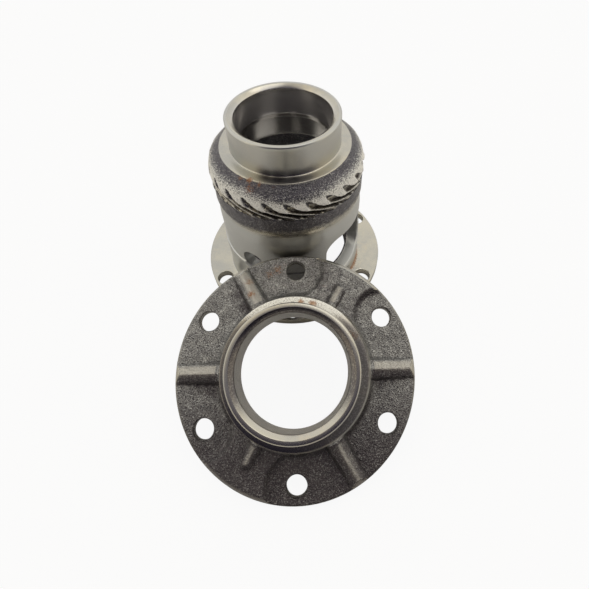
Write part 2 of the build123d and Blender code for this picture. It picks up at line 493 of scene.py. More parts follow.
caseShape = Values(
    flangeRadius=64.25, flangeTop=5.6, registerRadius=47.3, registerTop=35.0, registerBevel=0.6,
    bodyRadius=46.4, bodyTop=60.5, waistRadius=45.15, waistHeight=69.2,
    bandRadius=46.5, bandHeight=72.8, ringBottom=83.4, ringRadius=47.1, ringBevel=2.0, ringTop=92.4,
    browRadius=46.5, browHeight=94.4, cornerRadius=45.4, cornerHeight=97.9,
    shoulderRadius=38.7, shoulderHeight=103.7, shoulderBevel=0.4,
    neckTop=cadBox[1].z / mm, neckBevel=0.6,
    neckRadius=mounts["case_neck_seat"]["dims"]["r_mm"],
    boreRadius=mounts["case_neck_bore"]["dims"]["r_mm"], lipWidth=2.3, lipDepth=1.8,
    reliefRadius=29.0, reliefTop=103.9, reliefBevel=1.3, gearSeatTop=100.4, gearSeatRadius=34.0,
    cavityTop=84.0, cavityRadius=38.0, recessRadius=mounts["case_open_end"]["dims"]["r_mm"],
    recessDepth=mounts["case_open_end"]["dims"]["length_mm"], columnsPerTooth=15,
    columnSpread=(0.55, 0.45),  # even and cubed shares: denser near the middle of a tooth space
    fineStep=0.5, step=2.2, castUnevenness=0.16, rippleSizes=(9.0, 3.6), rippleSeeds=(3, 4),
)

driveTeeth = Values(
    count=24,
    firstTurn=-4.5,  # where a tooth space begins at the top, from the front toward +X
    leadDegrees=16.0,
    steepDegrees=46.0,  # the space turns upward where the cutter ran out
    steepHeights=(89.8, 92.4),
    scoopHalf=0.7,  # extra half width there
    scoopTop=97.2, spaceTop=96.0, spaceBottom=82.8, depth=2.8,
    runOut=4.6, runIn=3.0, rootHalf=0.85, flankDegrees=16.5,
)

windowShape = Values(turn=53.5, width=44.0, bottom=17.9, top=54.5, corner=9.0, edgeBreak=0.7)
pinShape = Values(turn=-36.4, height=mounts["cross_pin_bore"]["pos_m"][2] / mm, edgeBreak=0.6)
boltShape = Values(caseTurn=24.5, coverTurn=30, edgeBreak=0.45)


def neckCorners(s, case):
    # the upper end of either neck, with the case's radii and its own height: bevel, end face, lip
    return [
        (case.neckRadius, s.neckTop - case.neckBevel, 0.4),
        (case.neckRadius - case.neckBevel, s.neckTop, 0.4),
        (case.boreRadius + case.lipWidth, s.neckTop, 0.35),
        (case.boreRadius, s.neckTop - case.lipDepth, 0.4),
    ]


def caseCorners(s):
    # the turned outline as (radius, height, rounding), from the open end round the outside and back
    # down the bore
    return [
        (s.recessRadius, 0, 0.3),
        (s.flangeRadius, 0, 0.5),
        (s.flangeRadius, s.flangeTop, 0.6),
        (s.registerRadius, s.flangeTop, 1.7),
        (s.registerRadius, s.registerTop - s.registerBevel, 0.3),
        (s.bodyRadius, s.registerTop, 0.3),
        (s.bodyRadius, s.bodyTop, 20.0),
        (s.waistRadius, s.waistHeight, 3.0),
        (s.bandRadius, s.bandHeight, 2.5),
        (s.bandRadius, s.ringBottom, 0.8),
        (s.ringRadius, s.ringBottom + s.ringBevel, 0.6),
        (s.ringRadius, s.ringTop, 0.8),
        (s.browRadius, s.browHeight, 1.5),
        (s.cornerRadius, s.cornerHeight, 3.2),
        (s.shoulderRadius, s.shoulderHeight - s.shoulderBevel, 0.3),
        (s.shoulderRadius - s.shoulderBevel, s.shoulderHeight, 0.3),
        (s.neckRadius, s.shoulderHeight, 0.7),
        *neckCorners(s, s),
        (s.boreRadius, s.reliefTop, 0.3),
        (s.reliefRadius, s.reliefTop - s.reliefBevel, 0.3),
        (s.reliefRadius, s.gearSeatTop, 0.3),
        (s.gearSeatRadius, s.gearSeatTop, 0.4),
        (s.gearSeatRadius, s.cavityTop, 0.5),
        (s.cavityRadius, s.cavityTop, 2.0),
        (s.cavityRadius, s.recessDepth, 0.4),
        (s.recessRadius, s.recessDepth, 0.4),
    ]


def spaceCentreTurn(height, teeth, radius):
    # how far round (radians) a tooth space has gone on its way down from its top: the integral of
    # 1 / (radius tan(lead)), where the lead grows from leadDegrees to steepDegrees in steepHeights
    levels = np.linspace(teeth.spaceBottom, teeth.spaceTop, 400)
    near = smoothStep(*teeth.steepHeights, levels)
    lead = np.radians(teeth.leadDegrees + near * (teeth.steepDegrees - teeth.leadDegrees))
    rate = 1 / (radius * np.tan(lead))
    travelled = np.concatenate([[0], np.cumsum((rate[1:] + rate[:-1]) / 2 * np.diff(levels))])
    turned = np.interp(height, levels, travelled[-1] - travelled)
    return turned, np.interp(height, levels, lead)


def makeHousingCase(s, teeth, margin=1.0):
    # the outline turned about Z, rows (outline points) by columns (angles); in the ring the columns
    # follow the tooth spaces, and radius = min(outline, cutter), where cutter = ring radius less
    # depth, plus the distance past the root's edge divided by tan(flank)
    def stepOf(middle):
        # the fine step in the ring, twice that on the cone above it, and the plain step elsewhere
        inRing = (middle[0] > s.cornerRadius
                  and s.ringBottom - margin < middle[1] < s.cornerHeight + margin)
        onCone = s.cornerHeight < middle[1] < s.shoulderHeight and middle[0] > s.shoulderRadius
        return s.fineStep if inRing else s.fineStep * 2 if onCone else s.step

    radius, height = roundedOutline(caseCorners(s), stepOf)
    inner = np.arange(len(radius)) >= np.argmax(height)
    pitch = 2 * np.pi / teeth.count
    turned, lead = spaceCentreTurn(height, teeth, s.ringRadius)
    whole = round(turned[0] / pitch)  # teeth that one space passes on its way down
    settle = smoothStep(s.waistHeight, s.ringBottom - margin, height)
    drift = np.where(inner, 0.0, whole * pitch + (turned - whole * pitch) * settle)
    u = (np.arange(s.columnsPerTooth) + 0.5) / s.columnsPerTooth * 2 - 1
    within = (s.columnSpread[0] * u + s.columnSpread[1] * u**3) * 0.5
    column = (np.arange(teeth.count)[:, None] + within[None, :]).ravel() * pitch
    turn = math.radians(teeth.firstTurn - 90) + column[None, :] + drift[:, None]

    # how far each column lies from the middle of its space, square to the space's run
    aside = np.abs(within)[None, :] * pitch * s.ringRadius * np.sin(lead)[:, None]
    aside = np.tile(aside, (1, teeth.count))
    topFade = np.sqrt(np.clip((teeth.scoopTop - height) / teeth.runOut, 0, 1))
    bottomFade = np.sqrt(np.clip((height - teeth.spaceBottom) / teeth.runIn, 0, 1))
    fade = (topFade * bottomFade)[:, None]
    scoop = smoothStep(*teeth.steepHeights, height)[:, None] * teeth.scoopHalf
    past = np.maximum(aside - (teeth.rootHalf + scoop) * fade, 0)
    cutter = s.ringRadius - teeth.depth * fade + past / math.tan(math.radians(teeth.flankDegrees))
    inReach = (~inner & (height > s.ringBottom - 3 * margin))[:, None] & (fade > 0)
    cutter = np.where(inReach, cutter, np.inf)

    across, up, turn = np.broadcast_arrays(radius[:, None], height[:, None], turn)
    rough = between(height, s.bandHeight + margin, s.shoulderHeight - margin)
    rough &= radius > s.shoulderRadius + margin / 2
    uneven = castRipple(turnedPoints(across, turn, up), s) - s.castUnevenness
    across = np.minimum(across + np.where(rough[:, None], uneven, 0), cutter)
    points = turnedPoints(across, turn, up)
    quads = loopGrid(points, -whole * s.columnsPerTooth)
    return meshPiece("differential_case", points * mm, quads)


def circleOutline(radius, count=64):
    # a circle (u, v) = radius (cos t, sin t) with its outward normals (cos t, sin t)
    t = np.arange(count) / count * 2 * np.pi
    return radius * np.cos(t), radius * np.sin(t), np.cos(t), np.sin(t)


def roundedRectangle(width, tall, corner, perCorner=14, perSide=12):
    # four quarter circles joined by straight sides, with outward normals: (u, v) = centre of the
    # corner + corner radius (cos t, sin t)
    t = np.linspace(0, np.pi / 2, perCorner)
    arcs = []
    for quarter, (signU, signV) in enumerate(((1, 1), (-1, 1), (-1, -1), (1, -1))):
        normalU, normalV = np.cos(t + quarter * np.pi / 2), np.sin(t + quarter * np.pi / 2)
        centreU, centreV = signU * (width / 2 - corner), signV * (tall / 2 - corner)
        arcs.append((centreU + corner * normalU, centreV + corner * normalV, normalU, normalV))
    arcs = np.array(arcs)
    following = np.roll(arcs[:, :, 0], -1, 0)
    sides = np.linspace(arcs[:, :, -1], following, perSide + 2, axis=-1)[:, :, 1:-1]
    return np.concatenate([arcs, sides], -1).transpose(1, 0, 2).reshape(4, -1)


rimSteps = (  # a hole's rim: (mm past the wall, widening), each times the edge break
    (-9.0, 0.0), (-1.3, 0.0), (-0.75, 0.14), (-0.3, 0.45), (0.1, 1.0), (1.2, 3.0),
)


def wallHole(name, outline, hole, height, wallRadius, past=4.0):
    # a hole straight through both walls of the body; each rim is rounded over by widening the
    # section where it meets the wall, whose depth at u is sqrt(wallRadius^2 - u^2)
    turn = math.radians(hole.turn)
    axes = ((math.cos(turn), math.sin(turn), 0), (0, 0, 1), (math.sin(turn), -math.cos(turn), 0))
    surface = np.sqrt(wallRadius**2 - outline[0]**2)
    sections = [(surface + w * hole.edgeBreak, wider * hole.edgeBreak) for w, wider in rimSteps]
    sections.append((wallRadius + past, rimSteps[-1][1] * hole.edgeBreak))
    sections = [(-w, wider) for w, wider in reversed(sections)] + sections
    return holeCutter(name, axes, np.array([0, 0, height]), outline, sections)


def boltHoles(name, origin, axes, firstTurn, top):
    # plugs on the bolt circle, each from height 0 to top and widened where it leaves the two faces;
    # centre = origin + circle radius (cos(turn) across + sin(turn) upright)
    wide = boltShape.edgeBreak
    sections = [(-1.0, wide * 2), (0.0, wide), (wide, 0.0), (top - wide * 1.2, 0.0),
                (top - wide * 0.4, wide * 0.35), (top, wide), (top + 1.0, wide * 2.2)]
    plugs = []
    for index in range(boltPattern["count"]):
        turn = math.radians(firstTurn + index * 360 / boltPattern["count"])
        reach = boltPattern["pcd_mm"] / 2 * (math.cos(turn) * axes[0] + math.sin(turn) * axes[1])
        outline = circleOutline(boltPattern["hole_r_mm"])
        plugs.append(holeCutter(f"{name}{index}", axes, origin + reach, outline, sections))
    return plugs


def stainSum(points, stains):
    # the strongest stain at each point: a stain (x, y, z, size, strength) leaves
    # strength exp(-(d / size)^2) at distance d
    total = np.zeros(len(points))
    for x, y, z, size, strength in stains:
        total = np.maximum(total, strength * np.exp(-((points - [x, y, z])**2).sum(1) / size**2))
    return total


def around(turnDegrees, radius, height):
    # a place round the case, turned from the front toward +X: (r sin(turn), -r cos(turn), height)
    turn = math.radians(turnDegrees)
    return (radius * math.sin(turn), -radius * math.cos(turn), height)


caseRust = [
    (*around(-33, 38.5, 103.5), 2.6, 0.75), (*around(-24, 39.5, 103.0), 2.2, 0.6),
    (*around(-41, 39.5, 103.0), 1.8, 0.7), (*around(-30, 42.0, 100.5), 4.0, 0.5),
    (*around(-12, 40.0, 102.5), 2.5, 0.4),
]
# painted shade at the front of the neck's foot, and painted reflections of the cover on the body's
# front and the neck's front
casePaintedShade = [
    (*around(-22, 33.0, 103.9), 4.2, 0.8), (*around(-10, 33.0, 104.2), 4.6, 0.7),
    (*around(4, 33.2, 104.0), 4.0, 0.5), (*around(2, 46.4, 34.0), 28.0, 0.65),
    (*around(6, 32.5, 112.0), 10.0, 0.2),
]
farIn = 6  # the depth attributes are held between this and its negative
crisp = 8  # how much faster than the true distance they change at a crisp edge

caseMarksAndShade = Values(
    outerRadius=37.0,  # outside it lie the outer faces
    bandLift=0.6,  # the cast band's lower edge over bandHeight
    bandSwing=1.2,  # and how far it wanders, twice round the case
    bandStart=40, bandSoft=0.5,
    landFoot=0.3,  # the worn lands' lower edge over ringBottom
    landTop=96.6,  # their upper edge at the front
    landRise=1.9,  # and how much higher it lies to both sides
    landRiseTurns=(4, 40),
    landLoss=2.2,  # depth that they lose toward the ring's lower end
    landLossHeights=(88, 84.5),
    landReach=0.6,  # how far they go down a tooth's flank
    spaceDepth=0.4,  # deeper than this in a space, the skin is turned
    # painted shade deep in the tooth spaces, less in the scoops
    spaceFade=(97.2, 95.2), spaceGrimeDepths=(0.3, 1.1), spaceGrime=0.85, scoopClean=0.85,
    cavitySkin=(2.0, 0.2),  # the cast skin past the cavity's wall and over its top
    recessSkin=0.5,
    cutDepth=0.35,  # the holes' own faces start this far inside the body's face
    # cutBright lightens the holes' cut faces with the bore's painted light tone
    cutHeights=(15, 58), cutBright=0.7,
    seamRust=(62, 26, 2.2, 0.75),  # along the register's foot: turn, its width, width across, share
    # a faint even darkening over the neck
    seamTop=3.0, neckRadii=(31, 33), neckGrime=0.05, neckGrimeRise=2.0, neckWall=0.6,
    # painted light in the bore below, fading downward and weaker below the relief
    boreInside=31.9, boreFade=6.0,
    boreDeep=0.45,  # share below the relief
    wallShare=0.9, wallHeights=(71, 66),
    roundWall=(0.2, 4.0),  # how far from the turned body's ends its normals are kept round
)


def finishCase(mesh, s, teeth, w):
    # castDepth is the distance into the cast band, cavity or brow and the land depth that into the
    # rubbed lands; inSpace is how deep a point lies in a tooth space, the uncut outline less its
    # radius;
    # the other attributes are masks, products of smooth steps, bells and stains, among them painted
    # shade and painted reflections, and painted light in the bore
    local = readAll(mesh.vertices, "co", np.float32, 3).astype(float) / mm
    radius, height = np.hypot(local[:, 0], local[:, 1]), local[:, 2]
    turn = np.degrees(np.arctan2(local[:, 0], -local[:, 1]))
    outer = radius > w.outerRadius
    cutFace = outer & (radius < s.bodyRadius - w.cutDepth)
    cutFace &= between(height, *w.cutHeights)

    landTop = w.landTop + w.landRise * smoothStep(*w.landRiseTurns, np.abs(turn))
    land = np.minimum(height - s.ringBottom - w.landFoot, landTop - height)
    levels = [s.ringBottom, s.ringBottom + s.ringBevel, s.ringTop, s.browHeight, s.cornerHeight]
    uncut = [s.bandRadius, s.ringRadius, s.ringRadius, s.browRadius, s.cornerRadius]
    inSpace = np.interp(height, levels, uncut) - s.castUnevenness - radius
    inSpace = np.where(outer & (land > -1), inSpace, 0) * smoothStep(*w.spaceFade, height)
    land = np.minimum(land, (w.landReach - inSpace) * crisp)
    land = land - w.landLoss * smoothStep(*w.landLossHeights, height)

    wander = np.sin(np.radians(turn * 2 + w.bandStart))
    low = s.bandHeight + w.bandLift + w.bandSwing * wander
    high = s.shoulderHeight - s.shoulderBevel
    band = np.minimum((height - low) * w.bandSoft, (high - height) * crisp)
    inTurned = (inSpace > w.spaceDepth) & (height < teeth.steepHeights[1])
    depth = np.where(outer & ~inTurned, band, -farIn)
    inCavity = (radius < s.cavityRadius + w.cavitySkin[0])
    inCavity &= height < s.cavityTop + w.cavitySkin[1]
    depth = np.where(inCavity, farIn, depth)
    depth = np.where(height < s.recessDepth + w.recessSkin, -farIn, depth)

    middle, spread, across, share = w.seamRust
    seam = bell(turn, middle, spread) * bell(radius, s.registerRadius, across)
    seam *= height < s.flangeTop + w.seamTop
    # painted shade in the tooth spaces, less in the scoops
    inCut = 1 - w.scoopClean * smoothStep(*teeth.steepHeights, height)
    inCut = inCut * smoothStep(*w.spaceGrimeDepths, inSpace) * (height < teeth.spaceTop + 1)
    aboveShoulder = smoothStep(s.shoulderHeight, s.shoulderHeight + w.neckGrimeRise, height)
    onNeck = w.neckGrime * between(radius, *w.neckRadii) * aboveShoulder
    # the dark share is painted shade: the stains, the tooth spaces and a faint darkening over the
    # neck
    grime = np.maximum(np.maximum(stainSum(local, casePaintedShade), onNeck), w.spaceGrime * inCut)

    # painted light in the bore, weaker below the relief
    inBore = (radius < s.gearSeatRadius + 1) & (height > s.cavityTop - 1)
    inBore &= (radius < w.boreInside) | (height < s.gearSeatTop + 0.5)
    inBore = inBore * smoothStep(s.neckTop, s.neckTop - w.boreFade, height)
    inBore = inBore * np.where(height < s.reliefTop - 1, w.boreDeep, 1)
    onWall = smoothStep(s.flangeTop, s.flangeTop + 1, height) * smoothStep(*w.wallHeights, height)
    onWall = w.wallShare * onWall * (radius > s.cavityRadius + w.cavitySkin[0])
    neckWall = w.neckWall * (height > s.shoulderHeight + 0.5) * (radius > w.neckRadii[0])
    setAttributes(
        mesh,
        castDepth=np.clip(depth, -farIn, farIn),
        landDepth=np.where(outer, np.clip(land, -farIn, farIn), -farIn),
        worn=np.zeros(len(local)),
        rust=np.maximum(stainSum(local, caseRust), share * seam),
        grime=grime,
        # painted light in the bore, and the same lighter tone on the holes' cut faces
        bore=inBore + w.cutBright * cutFace,
        wall=onWall + neckWall,
        sawn=cutFace,
    )
    setTurnedMap(mesh, local)
    smoothShade(mesh)
    low, high = s.registerTop + w.roundWall[0], s.bodyTop - w.roundWall[1]
    keepRound(mesh, local, s.bodyRadius, low, high)


caseIron = ironMaterial("case_iron", Values(
    ironFinish, castColour=(0.13, 0.126, 0.142), castLight=(0.40, 0.39, 0.38),
    castRoughness=0.28, castRelief=0.6))
case = makeHousingCase(caseShape, driveTeeth)
windowMiddle = (windowShape.top + windowShape.bottom) / 2
windowTall = windowShape.top - windowShape.bottom
windowOutline = roundedRectangle(windowShape.width, windowTall, windowShape.corner)
pinOutline = circleOutline(mounts["cross_pin_bore"]["dims"]["r_mm"])
caseCutters = [
    wallHole("windowCut", windowOutline, windowShape, windowMiddle, caseShape.bodyRadius),
    wallHole("pinCut", pinOutline, pinShape, pinShape.height, caseShape.bodyRadius),
    *boltHoles("caseBolt", np.zeros(3), np.eye(3), boltShape.caseTurn, caseShape.flangeTop),
]
cutAway(case, caseCutters)
finishCase(case.data, caseShape, driveTeeth, caseMarksAndShade)
dressPiece(case, "housing_case", caseIron)

# housing cover, worked out in its own frame: mating face at height 0, neck upward

coverShape = Values(
    rimRadius=66.25, plate=6.0, spigotLength=5.0, spigotRadius=43.9, spigotBevel=1.0,
    footRadius=43.9, hubRadius=41.4, hubHeight=9.4, shoulderRadius=38.4, shoulderHeight=23.8,
    neckTop=42.6, gearSeatTop=20.2,
    ribTurns=(0, 120, 180, 300), ribHalf=4.3, ribHub=10.5, ribRim=3.4,
    ribStart=36.0,  # radius from which the ribs' tops slope down
    roofSlope=0.62, roofEdge=0.8, wallSlope=3.5, wallEdge=0.5,
    padTurns=(60, 240), padHeight=3.4, padHalfAngle=30.0, padHollow=17.3, padSlope=1.5,
    padRibHalf=2.5, padRibHub=8.2, padRibFar=5.8, padRibReach=54.0, padRibEnd=52.0,
    padRibEndSlope=1.1, coneWidth=3.2, coneHeight=4.2,
    coneSlope=1.2,  # inside the cone
    coneSoft=0.5, soft=1.8, spin=-1.0, columns=432,
    step=2.0, fineStep=0.75, castUnevenness=0.17, rippleSizes=(11.0, 4.2), rippleSeeds=(7, 8),
)


def coverCorners(s, case):
    # the turned outline as (radius, height, rounding), from the spigot round the outside and back
    # down the bore
    return [
        (case.cavityRadius, -s.spigotLength, 0.4),
        (s.spigotRadius - s.spigotBevel, -s.spigotLength, 0.3),
        (s.spigotRadius, s.spigotBevel - s.spigotLength, 0.3),
        (s.spigotRadius, 0, 0.2),
        (s.rimRadius, 0, 0.5),
        (s.rimRadius, s.plate, 0.8),
        (s.footRadius, s.plate, 2.6),
        (s.hubRadius, s.hubHeight, 2.0),
        (s.shoulderRadius, s.shoulderHeight, 0.6),
        (case.neckRadius, s.shoulderHeight, 0.6),
        *neckCorners(s, case),
        (case.boreRadius, s.gearSeatTop, 0.3),
        (case.gearSeatRadius, s.gearSeatTop, 0.4),
        (case.gearSeatRadius, 0, 0.4),
    ]


def softRidge(distance, slope, edge=0.7):
    # how far a raised form has dropped at a distance past its edge: slope (sqrt(d^2 + e^2) - e)
    past = np.maximum(distance, 0)
    return slope * (np.sqrt(past**2 + edge**2) - edge)


def ribHeight(along, aside, end, half, hubTop, farTop, s):
    # a rib's section is a low roof, top less roofSlope times the distance aside, on steep walls
    # past its half width; its top runs straight from hubTop at ribStart to farTop at its end
    share = np.clip((along - s.ribStart) / (end - s.ribStart), 0, 1)
    top = s.plate + hubTop + share * (farTop - hubTop)
    roof = softRidge(aside, s.roofSlope, s.roofEdge)
    return top - roof - softRidge(aside - half, s.wallSlope, s.wallEdge)


def raisedHeight(radius, turn, s):
    # the smooth maximum of the ribs, the pads and the pads' own ribs over a point at (radius, turn)
    raised = np.full(radius.shape, -50.0)
    for direction in s.ribTurns:
        angle = turn - math.radians(direction)
        along, aside = radius * np.cos(angle), np.abs(radius * np.sin(angle))
        rib = ribHeight(along, aside, s.rimRadius, s.ribHalf, s.ribHub, s.ribRim, s)
        raised = np.where(along > 0, smoothMax(raised, rib, s.soft), raised)
    circle, halfAngle = boltPattern["pcd_mm"] / 2, math.radians(s.padHalfAngle)
    for direction in s.padTurns:
        angle = (turn - math.radians(direction) + np.pi) % (2 * np.pi) - np.pi
        along, level = radius * np.cos(angle), radius * np.sin(angle)
        toHoles = [np.hypot(along - circle * np.cos(hole), level - circle * np.sin(hole))
                   for hole in (-halfAngle, halfAngle)]
        inHollow = s.padHollow - np.minimum(*toHoles)
        pastSide = radius * np.sin(np.abs(angle) - halfAngle)
        pad = s.plate + s.padHeight - softRidge(np.maximum(inHollow, pastSide), s.padSlope)
        rib = ribHeight(along, np.abs(level), s.padRibReach, s.padRibHalf, s.padRibHub,
                        s.padRibFar, s)
        rib = rib - softRidge(along - s.padRibEnd, s.padRibEndSlope)
        both = smoothMax(pad, rib, s.soft)
        raised = np.where(along > 0, smoothMax(raised, both, s.soft), raised)
    return raised


def rimLimit(radius, s):
    # the turned cone that cuts ribs and pads back: coneHeight / coneWidth steep at the rim, and
    # coneSlope steep further in
    inward = s.rimRadius - radius
    outerCone = inward / s.coneWidth * s.coneHeight
    innerCone = s.coneHeight + (inward - s.coneWidth) * s.coneSlope
    return s.plate + np.where(inward < s.coneWidth, outerCone, innerCone)


def makeHousingCover(s, case, margin=1.0):
    # the outline turned about the cover's axis; over the plate and hub the height is the smooth
    # maximum of the outline and the raised forms, held under the rim's turned cone
    def stepOf(middle):
        # the fine step over the plate and hub, and the plain step elsewhere
        onTop = middle[0] > s.shoulderRadius - margin and middle[1] > s.plate - margin
        return s.fineStep if onTop else s.step

    radius, height = roundedOutline(coverCorners(s, case), stepOf)
    topSide = (radius > s.shoulderRadius - 0.2) & (height > s.plate - 0.3)
    topSide &= height < s.shoulderHeight - margin
    turn = np.arange(s.columns)[None, :] / s.columns * 2 * np.pi
    radius, height, turn = np.broadcast_arrays(radius[:, None], height[:, None], turn)
    castPart = smoothStep(s.hubHeight + 3 * margin, s.hubHeight, height)
    castPart = castPart * smoothStep(s.rimRadius, s.rimRadius - 2 * margin, radius)
    uneven = castRipple(turnedPoints(radius, turn, height), s) * castPart
    raised = -smoothMax(-raisedHeight(radius, turn, s), -rimLimit(radius, s), s.coneSoft)
    hold = smoothStep(s.rimRadius, s.rimRadius - margin, radius)
    lifted = height + (smoothMax(height, raised, s.soft) - height) * hold + uneven
    points = turnedPoints(radius, turn, np.where(topSide[:, None], lifted, height))
    return points, loopGrid(points)


def coverPlace(s):
    # the cover's origin and axes in the shared frame, from the record's bolt pattern: the first
    # axis is level and square to the neck, then turned about the neck by spin
    seat = mounts["cover_bolts"]
    origin = np.array(seat["pos_m"]) / mm
    normal = -np.array(seat["axis"])
    turn = math.atan2(normal[0], -normal[1])
    sideways = np.array([math.cos(turn), math.sin(turn), 0])
    forward = np.cross(normal, sideways)
    spin = math.radians(s.spin)
    across = math.cos(spin) * sideways + math.sin(spin) * forward
    return origin, np.stack([across, np.cross(normal, across), normal])


coverRust = [
    (-10.5, 58.0, 6.5, 4.2, 0.55), (-15.5, 55.0, 6.5, 4.0, 0.5), (-6.5, 60.5, 6.5, 2.6, 0.4),
    (-27.0, 49.0, 9.0, 3.2, 0.95), (-24.5, 42.0, 12.0, 2.8, 0.85), (3.4, 35.2, 23.8, 2.0, 1.0),
    (9.8, 34.0, 23.8, 2.4, 1.0), (31.0, 17.0, 23.8, 4.2, 0.55), (17.0, 46.5, 7.5, 2.4, 0.6),
]
coverPaintedShadows = [  # painted shadows beside the ribs and along the pads' edges
    (-46.0, -8.5, 6.0, 6.0, 0.75), (-53.0, -7.0, 6.0, 5.0, 0.55), (46.0, -7.5, 6.0, 4.5, 0.7),
    (54.0, -6.5, 6.0, 3.5, 0.5), (-28.5, 35.5, 6.5, 4.5, 0.9), (-33.5, 43.5, 6.5, 4.0, 0.7),
    (17.4, 60.0, 7.5, 2.8, 0.85), (17.6, 55.0, 7.5, 2.8, 0.85), (16.3, 50.5, 7.5, 2.8, 0.85),
    (13.8, 46.5, 7.5, 2.8, 0.8), (34.8, 37.5, 7.5, 2.8, 0.7), (33.0, 33.0, 7.5, 2.8, 0.8),
    (32.4, 28.5, 7.5, 2.8, 0.6), (19.0, 38.5, 10.0, 2.6, 0.6), (23.0, 45.0, 10.0, 2.6, 0.6),
]

coverMarksAndShade = Values(
    hubEdge=1.4,  # how far up the hub the cast skin goes
    hubSkin=0.15,  # and how far off its cone it starts
    rimSoft=1.5,
    crownRise=(1.0, 3.0),  # over the plate
    crownSides=(4.4, 2.8),  # mm aside of a rib's middle
    crestSides=(2.6, 0.6), crest=0.95,
    padRibShare=1.9,  # the pads' ribs count as this much further aside
    # a painted highlight where rib sides face up, and painted shade where slopes face down
    upFacing=(-0.12, 0.4), downFacing=(-0.1, -0.34), downGrime=0.85,
    lowSide=(5, -50),  # across the cover, from where the painted shade starts to where it is full
    # painted shade toward the lower side, less on the painted highlights, and a painted dark
    # reflection on the neck's lip, all but its lower side
    lowGrime=0.9, wornClean=0.8, lipSide=(-24, -8), lipGrime=0.9,
    # painted shadow on the shoulder away from its top, and a painted highlight on its top
    shoulderSide=(31, 20), shoulderGrime=0.75, shoulderLand=(1.6, 7.6), shoulderLandSide=(30, 22),
    # painted shade under the plate, and painted light in the bore
    underGrime=0.85, boreBright=0.5, boreFade=6.0, boreOuter=29,
    dull=(-36, 34),  # turn and width of the lower right, dulled by handling
    dullSawn=1.3, dullWall=0.6,
)


def finishCover(mesh, local, s, case, axes, w):
    # facing is how far a point's normal turns to the cover's upper side: rib crests are rubbed
    # bright and their up-facing sides get a painted highlight, and what faces down gets painted
    # shade;
    # castDepth is the distance into the cast skin, and the rest are masks, products of smooth steps
    # and stains
    facing = readAll(mesh.vertices, "normal", np.float32, 3) @ axes[1]
    radius, height, y = np.hypot(local[:, 0], local[:, 1]), local[:, 2], local[:, 1]
    turn = np.arctan2(y, local[:, 0])
    onCone = (height > rimLimit(radius, s) - 0.35) & (height > s.plate + 0.5)
    onCone &= radius > s.rimRadius - s.coneWidth - 2
    hubHeights, hubRadii = [s.hubHeight, s.shoulderHeight], [s.hubRadius, s.shoulderRadius]
    offHub = radius - np.interp(height, hubHeights, hubRadii) - w.hubSkin
    upHub = s.hubHeight + w.hubEdge - height
    depth = np.where(radius > s.shoulderRadius + 0.5, upHub, -farIn)
    depth = np.maximum(depth, np.clip(offHub * crisp, -4, farIn))
    depth = np.minimum(depth, (s.rimRadius - 0.5 - radius) * w.rimSoft)
    depth = np.where(onCone, -farIn / 2, depth)
    isTurned = (height < s.plate - 0.7) | (radius < s.shoulderRadius - 0.2)
    depth = np.where(isTurned, -farIn, depth)

    ways = [(way, s.rimRadius, 1.0) for way in s.ribTurns]
    ways += [(way, s.padRibEnd, w.padRibShare) for way in s.padTurns]
    asides = []
    for way, end, share in ways:
        angle = turn - math.radians(way)
        onRib = (np.cos(angle) > 0) & (radius < end)
        asides.append(np.where(onRib, np.abs(radius * np.sin(angle)) * share, np.inf))
    aside = np.min(asides, 0)
    onCrown = smoothStep(*w.crownRise, height - s.plate) * smoothStep(*w.crownSides, aside)
    onCrown = onCrown * (radius > s.hubRadius + 1)
    onCrest = w.crest * smoothStep(*w.crestSides, aside) * onCrown
    # wear along the crests, and a painted highlight where the crown faces up
    worn = np.maximum(onCrown * smoothStep(*w.upFacing, facing), onCrest)

    # painted shade: darker toward the lower side, on down-facing slopes and in the painted shadows
    # by the ribs and pads
    offNeck = radius > s.hubRadius
    shade = w.lowGrime * smoothStep(*w.lowSide, y) * offNeck * (1 - w.wornClean * worn)
    downward = w.downGrime * smoothStep(*w.downFacing, facing) * offNeck
    shade = np.maximum(shade, downward * (height > s.plate - 0.5))
    shade = np.maximum(shade, stainSum(local, coverPaintedShadows))
    # painted dark reflection on the neck's lip, all but its lower side
    onLip = radius < case.boreRadius + case.lipWidth + 0.1
    onLip &= height > s.neckTop - case.lipDepth - 0.2
    shade = np.where(onLip, w.lipGrime * smoothStep(*w.lipSide, y), shade)
    # painted shadow on the shoulder away from its top
    onShoulder = between(radius, case.neckRadius + 0.4, s.shoulderRadius + 0.4)
    onShoulder &= height > s.shoulderHeight - 1.2
    shade = np.where(onShoulder, w.shoulderGrime * smoothStep(*w.shoulderSide, y), shade)
    # painted shade under the plate
    shade = np.where(height < s.plate * 0.5, w.underGrime, shade)
    # painted highlight: the land tone on the shoulder's top
    land = w.shoulderLand[0] - w.shoulderLand[1] * smoothStep(*w.shoulderLandSide, y)
    # painted light in the bore
    inBore = smoothStep(s.neckTop, s.neckTop - w.boreFade, height) * (radius < w.boreOuter)
    dull = bell(np.degrees(turn), *w.dull) * (radius > case.neckRadius - 0.3)
    dull *= between(height, s.hubHeight + 3, s.neckTop - 0.3)
    setAttributes(
        mesh,
        castDepth=np.clip(depth, -farIn, farIn),
        landDepth=np.where(onShoulder, land, -farIn),
        worn=worn,
        rust=stainSum(local, coverRust),
        grime=shade,
        bore=w.boreBright * inBore,
        wall=w.dullWall * dull,
        sawn=w.dullSawn * dull,
    )
    setTurnedMap(mesh, local)
    smoothShade(mesh)


